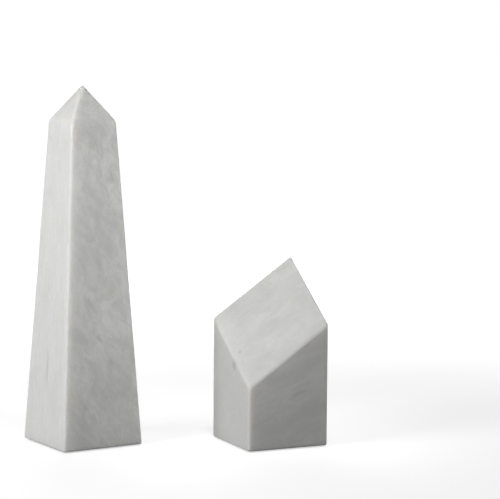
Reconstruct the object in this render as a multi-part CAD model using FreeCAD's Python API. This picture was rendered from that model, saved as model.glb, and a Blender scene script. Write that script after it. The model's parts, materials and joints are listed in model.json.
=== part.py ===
"""A pair of marble book ends: a tall obelisk and a short square block with a sloping top.

Each one is a single block of solid marble, heavy enough to hold up a row of books by its weight
alone. It stands on four round felt pads, each stuck under a corner of the stone.

Frame, in millimetres: +Z is up, +X runs along the shelf from the tall book end to the short one,
and the origin is on the shelf under the middle of the pair. Both stones stand turned about Z, so
each has a corner towards -Y. The corners are named as seen from there: front, left, right, back.
"""

import FreeCAD, Part
import os

# Driving dimensions.
TALL_WIDTH = 90.5  # the obelisk's foot is square
TALL_SHOULDER_WIDTH = 51.2  # where the tapering shaft ends and the pyramid starts
TALL_SHOULDER_HEIGHT = 330.0  # above the stone's underside
TALL_POINT_HEIGHT = 367.0  # of the pyramid's point, before it is rounded
TALL_TURN = 30.0  # degrees about Z

SHORT_WIDTH = 89.0  # the block is square all the way up
SHORT_FRONT_HEIGHT = 65.0  # lowest corner of the sloping top, before it is rounded
SHORT_BACK_HEIGHT = 187.5  # highest corner, diagonally opposite
SHORT_TURN = 22.5

CENTRE_DISTANCE = 192.5  # along X, from the tall stone's middle to the short one's
ARRIS_RADIUS = 2.0  # most edges of both stones are eased to this radius
RIM_RADIUS = 1.0  # and the edges round the sloping top to this one

PAD_RADIUS = 7.0
PAD_THICKNESS = 1.2
PAD_RIM_RADIUS = 0.3  # round the edge that meets the shelf
PAD_INSET = 15.0  # from the stone's sides to a pad's centre

# Each corner's name, and its signs in the stone's own x and y before the stone is turned.
CORNERS = {"front": (-1, -1), "right": (1, -1), "back": (1, 1), "left": (-1, 1)}

SAME_HEIGHT = 1e-4  # heights nearer than this are taken as one
UP = FreeCAD.Vector(0, 0, 1)
ORIGIN = FreeCAD.Vector(0, 0, 0)
OUT = "parts"


def square(width, height):
    """The corners of a level square about the Z axis, anticlockwise from the front one."""
    half = width / 2
    return [FreeCAD.Vector(x * half, y * half, height) for x, y in CORNERS.values()]


def face(points):
    """A flat face with these corners."""
    return Part.Face(Part.makePolygon(points + points[:1]))


def sides_between(lower, upper):
    """The four side faces between two squares."""
    following = [1, 2, 3, 0]
    return [face([lower[i], lower[j], upper[j], upper[i]]) for i, j in enumerate(following)]


def tall_stone():
    """The obelisk: a tapering square shaft under a low pyramid, with its underside at z = 0."""
    foot = square(TALL_WIDTH, 0)
    shoulder = square(TALL_SHOULDER_WIDTH, TALL_SHOULDER_HEIGHT)
    point = FreeCAD.Vector(0, 0, TALL_POINT_HEIGHT)
    pyramid = [face([shoulder[i - 1], shoulder[i], point]) for i in range(len(shoulder))]
    underside = face(foot[::-1])
    sharp = Part.Solid(Part.makeShell([underside] + sides_between(foot, shoulder) + pyramid))
    return sharp.makeFillet(ARRIS_RADIUS, sharp.Edges).Solids[0]


def square_bar(width, height):
    """A square bar standing on z = 0, with its upright edges and those of its foot eased."""
    bar = Part.makeBox(width, width, height, FreeCAD.Vector(-width / 2, -width / 2, 0))
    eased = [edge for edge in bar.Edges if edge.BoundBox.ZMin < height / 2]
    return bar.makeFillet(ARRIS_RADIUS, eased)


def on_slope(x, y):
    """The point of the sloping top at x, y: it climbs evenly from the front corner to the back."""
    middle = (SHORT_FRONT_HEIGHT + SHORT_BACK_HEIGHT) / 2
    climb = (SHORT_BACK_HEIGHT - SHORT_FRONT_HEIGHT) / (2 * SHORT_WIDTH)
    return FreeCAD.Vector(x, y, middle + climb * (x + y))


def lies_on_slope(edge):
    """Whether both ends of an edge are in the sloping top."""
    return all(abs(on_slope(end.X, end.Y).z - end.Z) < SAME_HEIGHT for end in edge.Vertexes)


def short_stone():
    """The block: a square bar sawn off along a slope, with its underside at z = 0."""
    cut = face([on_slope(x * SHORT_WIDTH, y * SHORT_WIDTH) for x, y in CORNERS.values()])
    waste = cut.extrude(UP * SHORT_BACK_HEIGHT)
    sawn = square_bar(SHORT_WIDTH, SHORT_BACK_HEIGHT).cut(waste)
    rim = [edge for edge in sawn.Edges if lies_on_slope(edge)]
    return sawn.makeFillet(RIM_RADIUS, rim).Solids[0]


def felt_pad():
    """One round felt pad, with its lower rim rounded and its underside at z = 0."""
    disc = Part.makeCylinder(PAD_RADIUS, PAD_THICKNESS)
    rim = [edge for edge in disc.Edges if edge.BoundBox.ZMax < PAD_THICKNESS / 2]
    return disc.makeFillet(PAD_RIM_RADIUS, rim).Solids[0]


def moved(shape, offset):
    """A copy of the shape, moved by this much."""
    copy = shape.copy()
    copy.translate(offset)
    return copy


def turned(shape, degrees):
    """A copy of the shape, turned about the Z axis."""
    copy = shape.copy()
    copy.rotate(ORIGIN, UP, degrees)
    return copy


def book_end(name, stone, width):
    """One book end's pieces by node name, standing on the shelf with its middle on the Z axis."""
    pieces = {f"{name}_stone": moved(stone, UP * PAD_THICKNESS)}
    reach = width / 2 - PAD_INSET
    for corner, (x, y) in CORNERS.items():
        pieces[f"{name}_pad_{corner}"] = moved(felt_pad(), FreeCAD.Vector(x * reach, y * reach, 0))
    return pieces


def placed(pieces, degrees, x):
    """The same pieces, turned about the Z axis and then moved along X."""
    along = FreeCAD.Vector(x, 0, 0)
    return {name: moved(turned(shape, degrees), along) for name, shape in pieces.items()}


def tall_middle(tall, short):
    """Where the tall stone's middle lies along X, so that the pair's box is centred on the origin."""
    tall_reach = turned(tall, TALL_TURN).BoundBox.XMax
    short_reach = turned(short, SHORT_TURN).BoundBox.XMax
    return (tall_reach - short_reach - CENTRE_DISTANCE) / 2


def assembly():
    """Every piece of the pair by node name, where it stands on the shelf."""
    tall = tall_stone()
    short = short_stone()
    tall_x = tall_middle(tall, short)
    pieces = placed(book_end("tall", tall, TALL_WIDTH), TALL_TURN, tall_x)
    pieces.update(placed(book_end("short", short, SHORT_WIDTH), SHORT_TURN, tall_x + CENTRE_DISTANCE))
    return pieces


def main():
    """Write each piece to a STEP file of its own."""
    os.makedirs(OUT, exist_ok=True)
    for name, shape in assembly().items():
        shape.exportStep(os.path.join(OUT, name + ".step"))


if __name__ == "__main__":
    main()
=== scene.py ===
"""The looks of a pair of marble book ends: their stones, felt pads, studio and camera.

Lengths are in metres, in the CAD model's frame: +Z up, +X along the shelf from the tall book end to
the short one, and the origin on the shelf. Each stone is rebuilt as a fine mesh on the flat sides
of its CAD solid, with the eased edges, nicks and slight unevenness that handwork leaves. Corners
are named as seen from -Y: front, right, back, left.
"""

import json
import math

import bmesh
import bpy
import numpy as np
from mathutils import Matrix, Vector, noise


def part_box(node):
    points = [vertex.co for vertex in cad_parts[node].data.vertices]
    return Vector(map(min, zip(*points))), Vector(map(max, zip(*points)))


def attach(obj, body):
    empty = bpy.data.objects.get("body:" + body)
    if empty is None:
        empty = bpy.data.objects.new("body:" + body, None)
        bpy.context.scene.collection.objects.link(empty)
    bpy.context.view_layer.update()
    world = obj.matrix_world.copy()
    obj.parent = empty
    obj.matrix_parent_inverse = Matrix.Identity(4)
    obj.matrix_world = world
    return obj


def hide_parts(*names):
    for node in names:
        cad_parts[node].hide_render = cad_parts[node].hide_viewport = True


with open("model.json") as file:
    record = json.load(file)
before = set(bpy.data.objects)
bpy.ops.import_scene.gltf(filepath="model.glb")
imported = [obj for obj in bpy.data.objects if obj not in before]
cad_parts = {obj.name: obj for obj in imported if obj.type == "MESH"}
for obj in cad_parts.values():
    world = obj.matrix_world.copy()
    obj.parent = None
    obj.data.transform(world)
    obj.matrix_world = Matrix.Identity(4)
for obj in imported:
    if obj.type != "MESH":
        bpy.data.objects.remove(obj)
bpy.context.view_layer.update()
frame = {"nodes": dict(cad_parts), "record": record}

MM = 0.001

# Corners, and the sides that a material speaks of: those left and right of the front corner, and
# the short stone's sloping top. Side k of a stone runs from corner k - 1 to corner k.
FRONT, RIGHT, BACK, LEFT = range(4)
LEFT_SIDE, RIGHT_SIDE, SLOPE = 0, 1, 4

# Reading the CAD stones.
SAME_FACING = 2  # the normals of one flat side's facets agree to this many decimals
FLAT_SHARE = 0.005  # a flat side has at least this share of the whole surface
UPRIGHT = 0.2  # a side's normal rises less than this, and a top's rises more

# The stones' edges and sides.
EASED = 2.0 * MM  # how far from a sharp edge its rounding starts, on each side
EASED_MORE = 0.35  # the most that handwork widens it by, as a share
EASED_WAVE = 22 * MM  # length of that unevenness along an edge
HOLLOW = 0.06 * MM  # how far the flat sides dip between their high spots
HOLLOW_WAVE = 45 * MM
HOLLOW_SEED = 50  # added to the stone's seed
ROUNDING_STEPS = 12

# The spacing of a stone's mesh.
FINE = 0.4 * MM  # at its edges and nicks
COARSE = 3.6 * MM  # in the middle of its sides
GROWTH = 0.25  # how fast the one grows into the other
SAME_POINT = 0.001 * MM

# Nicks: corner, share of the way up that edge, width and depth.
TALL_NICKS = [
    (FRONT, 0.994, 3.8 * MM, 1.15 * MM),
    (FRONT, 0.412, 1.3 * MM, 0.25 * MM),
    (RIGHT, 0.655, 1.7 * MM, 0.35 * MM),
    (RIGHT, 0.004, 2.4 * MM, 0.5 * MM),
    (BACK, 0.531, 1.5 * MM, 0.3 * MM),
    (LEFT, 0.238, 1.2 * MM, 0.25 * MM),
]
SHORT_NICKS = [
    (FRONT, 0.31, 1.2 * MM, 0.25 * MM),
    (RIGHT, 0.985, 1.8 * MM, 0.4 * MM),
    (BACK, 0.62, 1.6 * MM, 0.3 * MM),
    (LEFT, 0.006, 2.2 * MM, 0.45 * MM),
]
NICK_REACH = 1.3  # points nearer than this many radii are looked at
NICK_RAGGED = 0.12  # how much a nick's radius varies, as a share
NICK_WAVE = 0.4  # length of that unevenness, as a share of the nick's width

# The felt pads. Widths are shares of the radius, and heights are shares of the thickness.
PAD_SEGMENTS = 72
PAD_RINGS = (8, 6, 5, 9)  # of the mesh, on the top, wall, rim and sole
PAD_TOP = 0.97  # half the width of the flat top
PAD_WALL_TOP, PAD_WALL_HEIGHT = 0.04, 0.62  # where the upright wall starts, and its height
PAD_WAIST = 0.02  # how strongly the wall is drawn in between its ends
PAD_RIM_HEIGHT, PAD_RIM_WIDTH = 0.3, 0.04  # the rounding under the wall
PAD_RIM_INSET = 0.955  # from the axis to the rounding's inner end
PAD_RIM_START = 0.15  # radians from level
PAD_SOLE = 0.93  # half the width of the sole, which is worn flat
PAD_UNEVEN = 0.035  # how far the cut edge strays inwards
PAD_UNEVEN_WAVE = 1 / 2.2  # length of that unevenness
PAD_FUZZ = 0.05 * MM  # height of the felt's own unevenness
PAD_FUZZ_WAVE = 0.9 * MM
PAD_FUZZ_END = 0.99  # the fuzz on the top and sole reaches this far from the axis

# The marble's grain lies in layers nearly parallel to the side right of the front corner. It leans
# this many degrees up to the right there.
TALL_LEAN = -62
SHORT_LEAN = 17
LAYERS_SKEW = 0.12  # how far the layers are turned off that side
CALM = 0.35  # how strongly the grain shows on the side left of the front corner
CALM_DEPTH = 24 * MM  # and how far in from it the grain reaches its full strength

# The marble's colours.
TALL_WHITE = (0.800, 0.800, 0.782, 1)
# The short stone's white is darker than the tall one's by painted shade, so the short stone stays
# greyer under any light.
SHORT_WHITE_WITH_PAINTED_SHADE = (0.668, 0.668, 0.652, 1)
MARBLE_GREY = (0.560, 0.562, 0.550, 1)
MARBLE_DARK = (0.400, 0.402, 0.395, 1)
MARBLE_SPECK = (0.20, 0.20, 0.19, 1)

CLOUD_LOW, CLOUD_HIGH = 0.3, 0.7  # cloudy noise is seldom below or above these

# Grey patches in the marble, from the broadest to the finest: their length along the grain, their
# width across it and their depth into the layers; how far they twist; and how grey they are.
TALL_PATCHES = [
    ((75 * MM, 50 * MM, 18 * MM), 0.5, 0.40),
    ((30 * MM, 17 * MM, 6 * MM), 1.3, 0.45),
    ((11 * MM, 7 * MM, 3 * MM), 1.6, 0.28),
]
SHORT_PATCHES = [
    ((85 * MM, 34 * MM, 34 * MM), 0.4, 0.45),
    ((42 * MM, 11 * MM, 11 * MM), 0.9, 0.58),
    ((14 * MM, 5 * MM, 5 * MM), 1.4, 0.22),
]
PATCH_EDGE, PATCH_MIDDLE = 0.36, 0.68  # the cloudy noise's values there

# Darker spots: a side, and the shares across and up it; the spot's size as above; its strength.
TALL_SPOTS = [
    ((LEFT_SIDE, 0.50, 0.24), (27 * MM, 17 * MM, 3 * MM), 0.32),
    ((RIGHT_SIDE, 0.86, 0.82), (11 * MM, 7 * MM, 6 * MM), 0.30),
    ((RIGHT_SIDE, 0.48, 0.93), (9 * MM, 6 * MM, 6 * MM), 0.22),
    ((RIGHT_SIDE, 0.34, 0.45), (12 * MM, 3 * MM, 4 * MM), 0.25),
    ((RIGHT_SIDE, 0.48, 0.34), (6 * MM, 3 * MM, 4 * MM), 0.32),
    ((RIGHT_SIDE, 0.64, 0.27), (7 * MM, 4 * MM, 4 * MM), 0.30),
    ((RIGHT_SIDE, 0.27, 0.13), (9 * MM, 3 * MM, 4 * MM), 0.25),
]
SHORT_SPOTS = [
    ((LEFT_SIDE, 0.60, 0.93), (8 * MM, 6 * MM, 6 * MM), 0.58),
    ((RIGHT_SIDE, 0.66, 0.55), (13 * MM, 3 * MM, 5 * MM), 0.28),
    ((SLOPE, 0.67, 0.87), (1.7 * MM, 1.4 * MM, 1.4 * MM), 0.60),
    ((SLOPE, 0.08, 0.43), (1.9 * MM, 1.5 * MM, 1.5 * MM), 0.65),
]
SPOT_CORE, SPOT_END = 0.1, 1.1  # a spot fades between these shares of its size
SPOT_RAGGED = 0.35  # how far its outline strays, as a share of its size

# The marble's crystals and specks.
CRYSTAL = 0.8 * MM
# The crystals' shades are partly their own tone and partly painted glint.
CRYSTAL_DARKEST, CRYSTAL_LIGHTEST = 0.965, 1.025  # what they multiply the colour by
SPECK = 0.5 * MM
SPECKS_APART = 17 * MM
SPECK_STRENGTH = 0.6
SPECK_RARE = 0.64  # the share of their places that stays empty, about
SPECK_FADE = 0.02

# The marble's finish: its sides are honed, and its underside is sawn.
HONED_SMOOTH, HONED_ROUGH = 0.68, 0.78  # roughness, from patch to patch
HONED_PATCH = 14 * MM
PIT = 0.7 * MM
PIT_DEPTH = 0.012 * MM
SAWN_FROM, SAWN_TO = 0.1 * MM, 0.8 * MM  # the sawn look ends between these heights
SAWN_GREY = 0.25
SAWN_ROUGHNESS = 0.85
SAW_CENTRE = (0.31, 0.22, 0)
SAW_PITCH = 1.7 * MM
SAW_DEPTH = 0.05 * MM
SAW_UNEVEN = 1.5  # how far the arcs stray
RING_PITCH = 0.314  # of a wave texture at scale 1
MARBLE_SHINE = 0.3  # specular level, which is usually 0.5
MARBLE_SCATTER = 13 * MM  # how far light passes through the stone
SCATTER_COLOUR = (1.0, 0.93, 0.82)

# The felt: its colours, and how its two layers of fibres are turned, in radians, and their sizes.
FELT_DARK = (0.028, 0.028, 0.031, 1)
FELT_LIGHT = (0.105, 0.105, 0.112, 1)
FELT_SHEEN = (0.7, 0.7, 0.72, 1)
FELT_SHEEN_WEIGHT, FELT_SHEEN_ROUGHNESS = 0.4, 0.5
FELT_FIBRES = [
    ((0.3, 0.2, 0.5), (1.6 * MM, 0.12 * MM, 0.12 * MM)),
    ((0.1, 0.4, 2.1), (1.4 * MM, 0.1 * MM, 0.1 * MM)),
]
FELT_LUMP = 2.5 * MM
FELT_LUMP_DARK = 0.35  # how dark the lumps are
FELT_DEPTH = 0.12 * MM
FELT_ROUGH, FELT_WORN = 1.0, 0.85  # roughness, deep down and on top
SHADE_RANGE = (0.45, 0.75)  # the noise's values over which the fibres go from dark to light
ROUGH_RANGE = (0.4, 0.8)  # and from rough to worn
LUMP_RANGE = (0.35, 0.7)  # and the lumps' from nothing to full

# The studio: each light's name, place, target, width, height, power in watts and beam in degrees.
LIGHTS = [
    ("key", (-1.2, -0.8, 0.55), (-0.09, 0, 0.2), 0.8, 1.2, 3.8, 180),
    ("near_key", (-0.85, -0.55, 0.58), (-0.1, 0, 0.26), 0.5, 0.8, 6.6, 180),
    ("right", (0.9, -1.1, 0.7), (-0.14, 0, 0.28), 0.4, 0.4, 0.37, 30),
    ("top", (0.12, -0.5, 1.3), (0.12, 0, 0.14), 0.2, 0.2, 0.1, 22),
    ("back", (0.0, 1.5, 1.0), (0, 0, 0.2), 1.0, 1.0, 10.0, 180),
]
ROOM_LIGHT = 0.115
FLOOR_RADIUS = 20
FLOOR_SEGMENTS = 96
FLOOR_SHOWN = 0.6  # how much light the floor shows to the camera
FLOOR_NEAR, FLOOR_FAR = 0.2, 1.6  # distances from the middle between which its glow grows
FLOOR_GLOW, FLOOR_FAR_GLOW = 0.62, 1.0  # how brightly it glows to the camera by itself there
FLOOR_BOUNCED = 0.35  # how much light it throws back onto the stones

# The camera stands in front of the pair and looks slightly down. Its angles are in degrees.
CAMERA_AT = Vector((-13.5, -2091.5, 419.4)) * MM
CAMERA_HEADING = 2.46  # from +Y towards +X
CAMERA_DOWN = 5.98
CAMERA_ROLL = 0.43
CAMERA_LENS, CAMERA_SENSOR = 148.1, 36  # focal length and the sensor's width, in millimetres


# ---------------------------------------------------------------- the stones' shapes


def flat_sides(node):
    """The planes of a CAD stone's flat sides: each one's unit normal, and distance from the origin."""
    mesh = frame["nodes"][node].data
    facets = {}
    for polygon in mesh.polygons:
        facing = tuple(round(c, SAME_FACING) for c in polygon.normal)
        facets.setdefault(facing, []).append(polygon)
    least = FLAT_SHARE * sum(polygon.area for polygon in mesh.polygons)
    planes = []
    for polygons in facets.values():
        if sum(polygon.area for polygon in polygons) > least:
            largest = max(polygons, key=lambda polygon: polygon.area)
            point = mesh.vertices[largest.vertices[0]].co
            planes.append((largest.normal.copy(), largest.normal.dot(point)))
    return planes


def in_order(planes):
    """Planes sorted anticlockwise from above, starting with the one left of the front corner."""
    return sorted(planes, key=lambda plane: (math.atan2(plane[0].y, plane[0].x) - math.pi) % math.tau)


def meeting_point(*planes):
    """The point where three planes meet."""
    normals = np.array([normal for normal, _ in planes])
    return np.linalg.solve(normals, [distance for _, distance in planes])


class Stone:
    """A stone's flat sides, and the sharp corners that they would have."""

    def __init__(self, node):
        planes = flat_sides(node)
        self.sides = in_order([plane for plane in planes if abs(plane[0].z) < UPRIGHT])
        self.caps = in_order([plane for plane in planes if plane[0].z > UPRIGHT])
        foot_plane = min(planes, key=lambda plane: plane[0].z)
        cap_over_side = self.caps if len(self.caps) == 4 else self.caps * 4
        following = self.sides[1:] + self.sides[:1]
        meetings = list(zip(self.sides, following, cap_over_side))
        self.foot = [meeting_point(side, other, foot_plane) for side, other, _ in meetings]
        self.top = [meeting_point(side, other, cap) for side, other, cap in meetings]
        every = self.sides + self.caps + [foot_plane]
        self.normals = np.array([normal for normal, _ in every])
        self.distances = np.array([distance for _, distance in every])
        self.middle = sum(self.foot) / 4

    def on_edge(self, corner, share):
        """A point on an upright edge, this share of the way up."""
        return between(self.foot[corner], self.top[corner], share)

    def on_side(self, side, across, up):
        """A point on a side or on the sloping top, at these shares of the way across and up it."""
        if side == SLOPE:
            low_left, low_right = self.top[FRONT], self.top[RIGHT]
            high_left, high_right = self.top[LEFT], self.top[BACK]
        else:
            low_left, low_right = self.foot[side - 1], self.foot[side]
            high_left, high_right = self.top[side - 1], self.top[side]
        return between(between(low_left, low_right, across), between(high_left, high_right, across), up)

    def outward(self, corner):
        """The level direction from the stone's middle out through a corner."""
        out = self.foot[corner] - self.middle
        return out / np.linalg.norm(out)


def between(start, end, share):
    """The point or number this share of the way from start to end."""
    return start + (end - start) * share


def graded(length, fine_at=()):
    """Shares of a length from 0 to 1, close together at both ends and at these shares of it."""
    spots = [0.0, length] + [share * length for share in fine_at]
    steps = [0.0]
    while steps[-1] < length:
        nearest = min(abs(steps[-1] - spot) for spot in spots)
        steps.append(steps[-1] + min(COARSE, FINE + GROWTH * nearest))
    return np.array(steps) / steps[-1]


def mirrored(shares):
    """The same shares, made even about the middle, so that two patches agree along their edge."""
    return (shares + (1 - shares)[::-1]) / 2


def patch(bm, corners, across, up):
    """A grid between four corners: low left, low right, high right and high left from outside."""
    low_left, low_right, high_right, high_left = corners
    rows = []
    for v in up:
        left = between(low_left, high_left, v)
        right = between(low_right, high_right, v)
        rows.append([bm.verts.new(between(left, right, u)) for u in across])
    for low, high in zip(rows, rows[1:]):
        for i in range(len(across) - 1):
            bm.faces.new((low[i], low[i + 1], high[i + 1], high[i]))


def sharp_skin(stone, nicks):
    """The stone's surface before its edges are eased, as a welded grid."""
    foot, top = stone.foot, stone.top
    across = mirrored(graded(np.linalg.norm(foot[RIGHT] - foot[FRONT])))
    height = max(np.linalg.norm(high - low) for low, high in zip(foot, top))
    up = graded(height, [share for _, share, _, _ in nicks])
    bm = bmesh.new()
    for k in range(4):
        patch(bm, (foot[k - 1], foot[k], top[k], top[k - 1]), across, up)
    patch(bm, (foot[FRONT], foot[LEFT], foot[BACK], foot[RIGHT]), across, across)
    if len(stone.caps) == 4:
        point = meeting_point(*stone.caps[:3])
        up_cap = graded(np.linalg.norm(point - top[FRONT]))
        for k in range(4):
            patch(bm, (top[k - 1], top[k], point, point), across, up_cap)
    else:
        patch(bm, top, across, across)
    bmesh.ops.remove_doubles(bm, verts=bm.verts, dist=SAME_POINT)
    return bm


def wave(point, length, seed=0):
    """Smooth unevenness from 0 to 1 at this point, with waves of about this length."""
    return 0.5 + 0.5 * noise.noise(Vector(point) / length + Vector((seed, 0, 0)))


def waves(points, length, seed):
    """The same at each of these points."""
    return np.array([wave(point, length, seed) for point in points])


def eased(stone, points, seed):
    """The points, drawn in onto the stone's surface with its edges rounded and its sides uneven."""
    reach = EASED * (1 + EASED_MORE * waves(points, EASED_WAVE, seed))
    dip = HOLLOW * waves(points, HOLLOW_WAVE, seed + HOLLOW_SEED)
    result = points.copy()
    for _ in range(ROUNDING_STEPS):
        inside = np.maximum(result @ stone.normals.T - stone.distances + reach[:, None], 0)
        out = np.maximum(np.linalg.norm(inside, axis=1), SAME_POINT)
        slope = (inside / out[:, None]) @ stone.normals
        steep = (slope**2).sum(axis=1)
        result -= ((out - reach + dip) / steep)[:, None] * slope
    return result


def nicked(stone, points, nicks, seed):
    """The points, pushed in where a small shell of stone has broken from an edge."""
    result = points.copy()
    for corner, share, width, depth in nicks:
        edge = eased(stone, stone.on_edge(corner, share)[None], seed)[0]
        radius = (width**2 / 4 + depth**2) / (2 * depth)
        centre = edge + stone.outward(corner) * (radius - depth)
        away = result - centre
        distance = np.linalg.norm(away, axis=1)
        near = distance < radius * NICK_REACH
        uneven = NICK_RAGGED * (waves(result[near], width * NICK_WAVE, seed) - 0.5)
        pushed = np.maximum(distance[near], radius * (1 + uneven))
        result[near] = centre + away[near] * (pushed / distance[near])[:, None]
    return result


def stone_piece(name, node, body, nicks, seed):
    """One stone of the pair, which stands for its CAD node."""
    stone = Stone(node)
    bm = sharp_skin(stone, nicks)
    points = np.array([vertex.co for vertex in bm.verts], float)
    points = nicked(stone, eased(stone, points, seed), nicks, seed)
    for vertex, point in zip(bm.verts, points):
        vertex.co = point
    piece = piece_from(bm, name)
    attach(piece, body)
    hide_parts(node)
    return piece, stone


def piece_from(bm, name):
    """A smooth-shaded object made of this mesh."""
    mesh = bpy.data.meshes.new(name)
    bm.to_mesh(mesh)
    bm.free()
    mesh.shade_smooth()
    piece = bpy.data.objects.new(name, mesh)
    bpy.context.scene.collection.objects.link(piece)
    return piece


# ---------------------------------------------------------------- the felt pads


def pad_outline(low, high):
    """A felt pad's profile between these heights, from its top middle to its bottom one.

    Each point is a height, and a distance from the axis as a share of the radius."""
    top_rings, wall_rings, rim_rings, sole_rings = PAD_RINGS
    thick = high - low
    wall_top = high - thick * PAD_WALL_TOP
    rim_height = thick * PAD_RIM_HEIGHT
    top = [(high, share) for share in np.linspace(0, PAD_TOP, top_rings + 1)[1:]]
    wall = [
        (wall_top - thick * PAD_WALL_HEIGHT * down, 1 - PAD_WAIST * down * (1 - down))
        for down in np.linspace(0, 1, wall_rings)
    ]
    rim = [
        (low + rim_height * (1 - math.sin(turn)), PAD_RIM_INSET + PAD_RIM_WIDTH * math.cos(turn))
        for turn in np.linspace(PAD_RIM_START, math.pi / 2, rim_rings)
    ]
    sole = [(low, share) for share in np.linspace(PAD_SOLE, 0, sole_rings + 1)[:-1]]
    return top + wall + rim + sole


def pad_ring(bm, middle, radius, height, share, seed):
    """The points round a pad at one place on its profile."""
    ring = []
    fuzz = PAD_FUZZ if share < PAD_FUZZ_END else 0
    down = 1 if height > middle.z else -1
    for step in range(PAD_SEGMENTS):
        turn = math.tau * step / PAD_SEGMENTS
        around = Vector((math.cos(turn), math.sin(turn), 0))
        cut = 1 - PAD_UNEVEN * wave(around, PAD_UNEVEN_WAVE, seed)
        point = Vector((middle.x, middle.y, height)) + around * radius * share * cut
        point.z -= down * fuzz * wave(point, PAD_FUZZ_WAVE)
        ring.append(bm.verts.new(point))
    return ring


def close_fan(bm, ring, point, upwards):
    """Triangles from a ring to a point in its middle."""
    centre = bm.verts.new(point)
    for i in range(len(ring)):
        pair = (ring[i], ring[(i + 1) % len(ring)])
        bm.faces.new((centre, *pair) if upwards else (centre, *pair[::-1]))


def pad_piece(node, body, seed):
    """One felt pad, cut a little unevenly and worn flat underneath, which stands for its CAD node."""
    low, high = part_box(node)
    middle = (low + high) / 2
    radius = (high.x - low.x) / 2
    bm = bmesh.new()
    outline = pad_outline(low.z, high.z)
    rings = [pad_ring(bm, middle, radius, height, share, seed) for height, share in outline]
    for upper, lower in zip(rings, rings[1:]):
        for i in range(PAD_SEGMENTS):
            j = (i + 1) % PAD_SEGMENTS
            bm.faces.new((upper[i], lower[i], lower[j], upper[j]))
    close_fan(bm, rings[0], Vector((middle.x, middle.y, high.z - PAD_FUZZ / 2)), upwards=True)
    close_fan(bm, rings[-1], Vector((middle.x, middle.y, low.z + PAD_FUZZ / 2)), upwards=False)
    piece = piece_from(bm, node.replace("pad", "felt_pad"))
    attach(piece, body)
    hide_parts(node)
    return piece


# ---------------------------------------------------------------- materials


class Surface:
    """A material's nodes, with a short way to add to them."""

    def __init__(self, name):
        self.material = bpy.data.materials.new(name)
        self.material.use_nodes = True
        self.tree = self.material.node_tree
        self.shader = self.tree.nodes["Principled BSDF"]
        self.place = self.add("TexCoord", {}).outputs["Object"]

    def add(self, kind, inputs, **settings):
        """A node of this kind. Its inputs are values or other nodes' outputs, by name or place."""
        node = self.tree.nodes.new("ShaderNode" + kind)
        for name, value in settings.items():
            setattr(node, name, value)
        for name, value in inputs.items():
            self.feed(node.inputs[name], value)
        return node

    def feed(self, socket, value):
        """Links an output to a socket, or sets the socket's value."""
        if isinstance(value, bpy.types.NodeSocket):
            self.tree.links.new(value, socket)
        else:
            socket.default_value = value

    def finish(self, **inputs):
        """Feeds the shader. Spaces in its inputs' names are written as underscores."""
        for name, value in inputs.items():
            self.feed(self.shader.inputs[name.replace("_", " ")], value)
        return self.material

    def stretched(self, turn, lengths):
        """Coordinates along turned axes, in which a feature of size 1 has these lengths."""
        inputs = {"Vector": self.place, "Rotation": turn, "Scale": lengths}
        return self.add("Mapping", inputs, vector_type="TEXTURE").outputs["Vector"]

    def even(self, length):
        """Coordinates in which a feature of size 1 has this length every way."""
        return self.stretched((0, 0, 0), (length, length, length))

    def cells(self, apart):
        """Small cells about this far apart, each with a random colour."""
        return self.add("TexVoronoi", {"Vector": self.place, "Scale": 1 / apart}).outputs

    def noise(self, where, detail=4.0, roughness=0.55, distortion=0.0):
        """Cloudy noise of size 1."""
        inputs = {"Vector": where, "Scale": 1.0, "Detail": detail, "Roughness": roughness}
        return self.add("TexNoise", {**inputs, "Distortion": distortion}).outputs["Fac"]

    def ramp(self, value, low, high, to_low=0.0, to_high=1.0):
        """The value from low to high, turned into to_low to to_high, smooth at both ends."""
        inputs = {"Value": value, 1: low, 2: high, 3: to_low, 4: to_high}
        return self.add("MapRange", inputs, interpolation_type="SMOOTHSTEP").outputs["Result"]

    def calculate(self, operation, first, second=0.0):
        """The result of this operation on two numbers."""
        return self.add("Math", {0: first, 1: second}, operation=operation).outputs["Value"]

    def mix(self, share, first, second, blend="MIX"):
        """Two colours mixed. A mix node's inputs 6 and 7 and output 2 are the ones for colours."""
        inputs = {0: share, 6: first, 7: second}
        return self.add("Mix", inputs, data_type="RGBA", blend_type=blend).outputs[2]

    def bumped(self, height, depth, under=None):
        """A normal for this height, from 0 to 1, that is this deep."""
        inputs = {"Height": height, "Distance": depth, "Strength": 1.0}
        if under:
            inputs["Normal"] = under
        return self.add("Bump", inputs).outputs["Normal"]


def grain_turn(stone, lean):
    """How a stone's grain is turned: its X runs along the grain, and its Z across the layers."""
    up = Vector((0, 0, 1))
    facing = stone.sides[RIGHT_SIDE][0]
    level = up.cross(facing).normalized()
    across = (facing + LAYERS_SKEW * level).normalized()
    along = level * math.cos(math.radians(lean)) + up * math.sin(math.radians(lean))
    along = (along - across * across.dot(along)).normalized()
    return Matrix((along, across.cross(along), across)).transposed().to_euler()


def grain_strength(surface, stone):
    """How strongly the grain shows: less in the stone behind the side left of the front corner."""
    normal, distance = stone.sides[LEFT_SIDE]
    inputs = {0: surface.place, 1: normal}
    depth = surface.add("VectorMath", inputs, operation="DOT_PRODUCT").outputs["Value"]
    return surface.ramp(depth, distance - CALM_DEPTH, distance, 1.0, CALM)


def spot(surface, stone, turn, place, size, strength):
    """How far a soft spot of this size shows, from 0 to its strength."""
    centre = stone.on_side(*place)
    inputs = {"Vector": surface.place, "Location": centre, "Rotation": turn, "Scale": size}
    offset = surface.add("Mapping", inputs, vector_type="TEXTURE").outputs["Vector"]
    distance = surface.add("VectorMath", {0: offset}, operation="LENGTH").outputs["Value"]
    ragged = surface.noise(surface.stretched(turn, size), roughness=0.6)
    straying = surface.ramp(ragged, CLOUD_LOW, CLOUD_HIGH, -SPOT_RAGGED, SPOT_RAGGED)
    distance = surface.calculate("ADD", distance, straying)
    return surface.ramp(distance, SPOT_CORE, SPOT_END, strength, 0.0)


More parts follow.
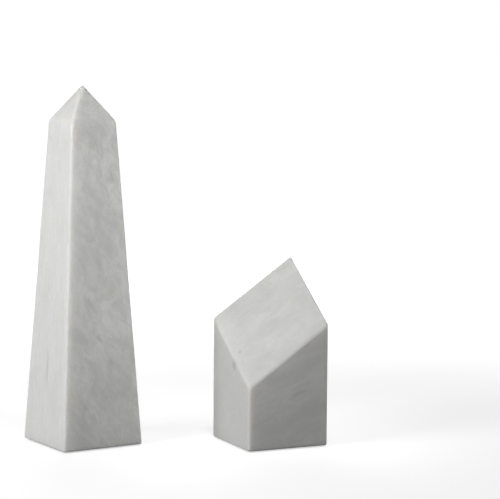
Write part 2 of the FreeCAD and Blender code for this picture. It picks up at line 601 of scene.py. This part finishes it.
def marble_shade(surface, stone, white, lean, patches, spots):
    """White marble's colour: grey patches along its grain, and a few darker spots."""
    turn = grain_turn(stone, lean)
    grain = grain_strength(surface, stone)
    shade = white
    for size, twist, strength in patches:
        cloud = surface.noise(surface.stretched(turn, size), distortion=twist)
        grey = surface.ramp(cloud, PATCH_EDGE, PATCH_MIDDLE, 0.0, strength)
        shade = surface.mix(surface.calculate("MULTIPLY", grey, grain), shade, MARBLE_GREY)
    for place, size, strength in spots:
        shade = surface.mix(spot(surface, stone, turn, place, size, strength), shade, MARBLE_DARK)
    return shade


def with_crystals(surface, shade):
    """The colour, a little lighter or darker from crystal to crystal: partly the crystals' own tone,
    partly painted glint.
    """
    crystal = surface.cells(CRYSTAL)["Color"]
    # Lighter crystals are partly painted glint, darker ones the crystals' own tone.
    tone_and_painted_glint = surface.ramp(crystal, 0.0, 1.0, CRYSTAL_DARKEST, CRYSTAL_LIGHTEST)
    tone_and_painted_glint = surface.add("CombineColor", {0: tone_and_painted_glint, 1: tone_and_painted_glint, 2: tone_and_painted_glint}).outputs[0]
    return surface.mix(1.0, shade, tone_and_painted_glint, "MULTIPLY")


def with_specks(surface, shade):
    """The colour with a few small dark specks."""
    cells = surface.cells(SPECKS_APART)
    size = SPECK / SPECKS_APART
    speck = surface.ramp(cells["Distance"], size / 2, size, SPECK_STRENGTH, 0.0)
    rare = surface.ramp(cells["Color"], SPECK_RARE - SPECK_FADE, SPECK_RARE + SPECK_FADE)
    return surface.mix(surface.calculate("MULTIPLY", speck, rare), shade, MARBLE_SPECK)


def sawn_part(surface, stone):
    """1 on the stone's underside, and 0 above it."""
    height = surface.add("SeparateXYZ", {"Vector": surface.place}).outputs["Z"]
    foot = stone.middle[2]
    return surface.ramp(height, foot + SAWN_FROM, foot + SAWN_TO, 1.0, 0.0)


def marble_roughness(surface, sawn):
    """Honed sides, smoother and rougher by patches, and a rough underside."""
    cloud = surface.noise(surface.even(HONED_PATCH))
    honed = surface.ramp(cloud, CLOUD_LOW, CLOUD_HIGH, HONED_SMOOTH, HONED_ROUGH)
    return surface.calculate("MAXIMUM", honed, surface.calculate("MULTIPLY", sawn, SAWN_ROUGHNESS))


def marble_relief(surface, sawn):
    """The pits between the crystals, and the shallow arcs that a round saw leaves underneath."""
    pits = surface.noise(surface.even(PIT), detail=3.0, roughness=0.6)
    where = surface.add("Mapping", {"Vector": surface.place, "Location": SAW_CENTRE}).outputs["Vector"]
    inputs = {"Vector": where, "Scale": RING_PITCH / SAW_PITCH, "Distortion": SAW_UNEVEN}
    arcs = surface.add("TexWave", inputs, wave_type="RINGS", rings_direction="Z").outputs["Fac"]
    arcs = surface.calculate("MULTIPLY", arcs, sawn)
    return surface.bumped(arcs, SAW_DEPTH, surface.bumped(pits, PIT_DEPTH))


def marble(name, stone, white, lean, patches, spots):
    """Honed white marble, with fine crystals, a few dark specks, and a sawn underside."""
    surface = Surface(name)
    sawn = sawn_part(surface, stone)
    shade = marble_shade(surface, stone, white, lean, patches, spots)
    shade = with_specks(surface, with_crystals(surface, shade))
    shade = surface.mix(surface.calculate("MULTIPLY", sawn, SAWN_GREY), shade, MARBLE_GREY)
    return surface.finish(
        Base_Color=shade,
        Roughness=marble_roughness(surface, sawn),
        Normal=marble_relief(surface, sawn),
        Specular_IOR_Level=MARBLE_SHINE,
        Subsurface_Weight=1.0,
        Subsurface_Radius=SCATTER_COLOUR,
        Subsurface_Scale=MARBLE_SCATTER,
    )


def felt():
    """Pressed charcoal wool felt: matted fibres of lighter and darker grey."""
    surface = Surface("felt")
    layers = [
        surface.noise(surface.stretched(turn, size), detail=3.0, roughness=0.6, distortion=0.6)
        for turn, size in FELT_FIBRES
    ]
    matted = surface.calculate("MAXIMUM", *layers)
    shade = surface.mix(surface.ramp(matted, *SHADE_RANGE), FELT_DARK, FELT_LIGHT)
    lumps = surface.noise(surface.even(FELT_LUMP), detail=3.0)
    shade = surface.mix(surface.ramp(lumps, *LUMP_RANGE, 0.0, FELT_LUMP_DARK), shade, FELT_DARK)
    return surface.finish(
        Base_Color=shade,
        Roughness=surface.ramp(matted, *ROUGH_RANGE, FELT_ROUGH, FELT_WORN),
        Normal=surface.bumped(matted, FELT_DEPTH),
        Sheen_Weight=FELT_SHEEN_WEIGHT,
        Sheen_Roughness=FELT_SHEEN_ROUGHNESS,
        Sheen_Tint=FELT_SHEEN,
    )


def floor_material():
    """A pale floor, which shows white to the camera and throws back little light."""
    surface = Surface("floor")
    surface.tree.nodes.remove(surface.shader)
    away = surface.add("VectorMath", {0: surface.place}, operation="LENGTH").outputs["Value"]
    glow = surface.ramp(away, FLOOR_NEAR, FLOOR_FAR, FLOOR_GLOW, FLOOR_FAR_GLOW)
    glow = surface.add("Emission", {"Strength": glow}).outputs[0]
    shown = surface.add("BsdfDiffuse", {"Color": grey(FLOOR_SHOWN)}).outputs[0]
    shown = surface.add("AddShader", {0: shown, 1: glow}).outputs[0]
    bounced = surface.add("BsdfDiffuse", {"Color": grey(FLOOR_BOUNCED)}).outputs[0]
    seen = surface.add("LightPath", {}).outputs["Is Camera Ray"]
    both = surface.add("MixShader", {0: seen, 1: bounced, 2: shown}).outputs[0]
    surface.feed(surface.tree.nodes["Material Output"].inputs["Surface"], both)
    return surface.material


def grey(shade):
    """An opaque grey, from 0 to 1."""
    return (shade, shade, shade, 1)


# ---------------------------------------------------------------- the studio


def studio_camera():
    """The camera, at the height and distance of a product photographer's."""
    data = bpy.data.cameras.new("camera")
    data.lens = CAMERA_LENS
    data.sensor_width = CAMERA_SENSOR
    camera = bpy.data.objects.new("camera", data)
    bpy.context.scene.collection.objects.link(camera)
    heading = Matrix.Rotation(-math.radians(CAMERA_HEADING), 3, "Z")
    pitch = Matrix.Rotation(math.radians(90 - CAMERA_DOWN), 3, "X")
    roll = Matrix.Rotation(math.radians(CAMERA_ROLL), 3, "Z")
    camera.rotation_euler = (heading @ pitch @ roll).to_euler()
    camera.location = CAMERA_AT
    bpy.context.scene.camera = camera


def studio_light(name, place, target, width, height, watts, beam):
    """A soft box of this size, turned towards a target."""
    data = bpy.data.lights.new(name, "AREA")
    data.shape = "RECTANGLE"
    data.size = width
    data.size_y = height
    data.energy = watts
    data.spread = math.radians(beam)
    light = bpy.data.objects.new(name, data)
    light.visible_camera = False
    light.location = place
    light.rotation_euler = (Vector(target) - Vector(place)).to_track_quat("-Z", "Y").to_euler()
    bpy.context.scene.collection.objects.link(light)


def studio_room():
    """Surroundings that look white to the camera, and give only a soft light."""
    world = bpy.data.worlds.new("room")
    world.use_nodes = True
    tree = world.node_tree
    background = tree.nodes["Background"]
    background.inputs["Color"].default_value = grey(1)
    seen = tree.nodes.new("ShaderNodeLightPath").outputs["Is Camera Ray"]
    strength = tree.nodes.new("ShaderNodeMix")
    share, unseen, shown = strength.inputs[0], strength.inputs[2], strength.inputs[3]
    unseen.default_value = ROOM_LIGHT
    shown.default_value = 1.0
    tree.links.new(seen, share)
    tree.links.new(strength.outputs[0], background.inputs["Strength"])
    bpy.context.scene.world = world


def studio_floor():
    """A wide round floor, which the pair stands on."""
    bm = bmesh.new()
    bmesh.ops.create_circle(bm, cap_ends=True, segments=FLOOR_SEGMENTS, radius=FLOOR_RADIUS)
    floor = piece_from(bm, "floor")
    floor.data.materials.append(floor_material())


# ---------------------------------------------------------------- the whole scene

tall_piece, tall = stone_piece("tall_marble", "tall_stone", "tall_book_end", TALL_NICKS, 1)
tall_marble = marble("tall_marble", tall, TALL_WHITE, TALL_LEAN, TALL_PATCHES, TALL_SPOTS)
tall_piece.data.materials.append(tall_marble)

short_piece, short = stone_piece("short_marble", "short_stone", "short_book_end", SHORT_NICKS, 2)
# The short stone's marble carries painted shade through its darker white.
short_marble = marble("short_marble", short, SHORT_WHITE_WITH_PAINTED_SHADE, SHORT_LEAN, SHORT_PATCHES, SHORT_SPOTS)
short_piece.data.materials.append(short_marble)

felt_material = felt()
bodies = frame["record"]["behaviour"]["bodies"]
pads = [(node, body) for body, nodes in bodies.items() for node in nodes if "pad" in node]
for seed, (node, body) in enumerate(pads):
    pad_piece(node, body, seed).data.materials.append(felt_material)

studio_camera()
studio_room()
studio_floor()
for light in LIGHTS:
    studio_light(*light)
bpy.context.scene.view_settings.view_transform = "Standard"
